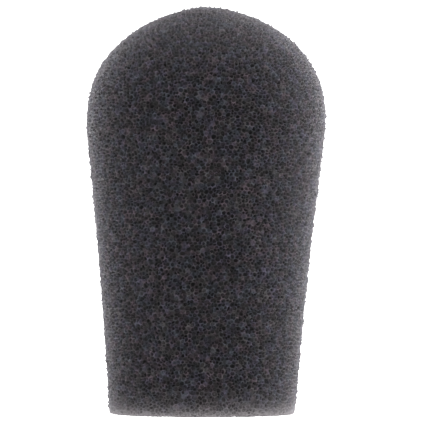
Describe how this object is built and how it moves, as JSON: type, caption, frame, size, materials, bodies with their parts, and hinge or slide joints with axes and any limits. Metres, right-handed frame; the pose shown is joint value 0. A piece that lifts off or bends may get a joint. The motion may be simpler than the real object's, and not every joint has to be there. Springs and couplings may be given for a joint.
{
  "type": "foam windscreen",
  "caption": "Domed, tapering open-cell foam windscreen with a flat cut base; its bore holds a snap collar that locks behind a microphone's head.",
  "frame": {"origin": "centre of the flat base face, on the bore's axis", "axes": "+Z along the bore's axis from the mouth to the dome; +X through the middle of the first snap finger"},
  "size_m": [0.052, 0.052, 0.0885],
  "materials": {
    "foam": "matte",
    "collar_plastic": "satin"
  },
  "bodies": {
    "windscreen": {"foam_body": "foam", "snap_collar": "collar_plastic"},
    "finger_1": {"snap_finger_1": "collar_plastic"},
    "finger_2": {"snap_finger_2": "collar_plastic"},
    "finger_3": {"snap_finger_3": "collar_plastic"},
    "finger_4": {"snap_finger_4": "collar_plastic"},
    "finger_5": {"snap_finger_5": "collar_plastic"},
    "finger_6": {"snap_finger_6": "collar_plastic"}
  },
  "joints": [
    {"name": "finger_1_flex", "type": "hinge", "parent": "windscreen", "child": "finger_1", "pos_m": [0.017, 0, 0.0325], "axis": [0, 1, 0], "range_deg": [0, 9], "stiffness_Nm_per_rad": 0.15},
    {"name": "finger_2_flex", "type": "hinge", "parent": "windscreen", "child": "finger_2", "pos_m": [0.0085, 0.01472, 0.0325], "axis": [-0.866, 0.5, 0], "range_deg": [0, 9], "stiffness_Nm_per_rad": 0.15},
    {"name": "finger_3_flex", "type": "hinge", "parent": "windscreen", "child": "finger_3", "pos_m": [-0.0085, 0.01472, 0.0325], "axis": [-0.866, -0.5, 0], "range_deg": [0, 9], "stiffness_Nm_per_rad": 0.15},
    {"name": "finger_4_flex", "type": "hinge", "parent": "windscreen", "child": "finger_4", "pos_m": [-0.017, 0, 0.0325], "axis": [0, -1, 0], "range_deg": [0, 9], "stiffness_Nm_per_rad": 0.15},
    {"name": "finger_5_flex", "type": "hinge", "parent": "windscreen", "child": "finger_5", "pos_m": [-0.0085, -0.01472, 0.0325], "axis": [0.866, -0.5, 0], "range_deg": [0, 9], "stiffness_Nm_per_rad": 0.15},
    {"name": "finger_6_flex", "type": "hinge", "parent": "windscreen", "child": "finger_6", "pos_m": [0.0085, -0.01472, 0.0325], "axis": [0.866, 0.5, 0], "range_deg": [0, 9], "stiffness_Nm_per_rad": 0.15}
  ]
}
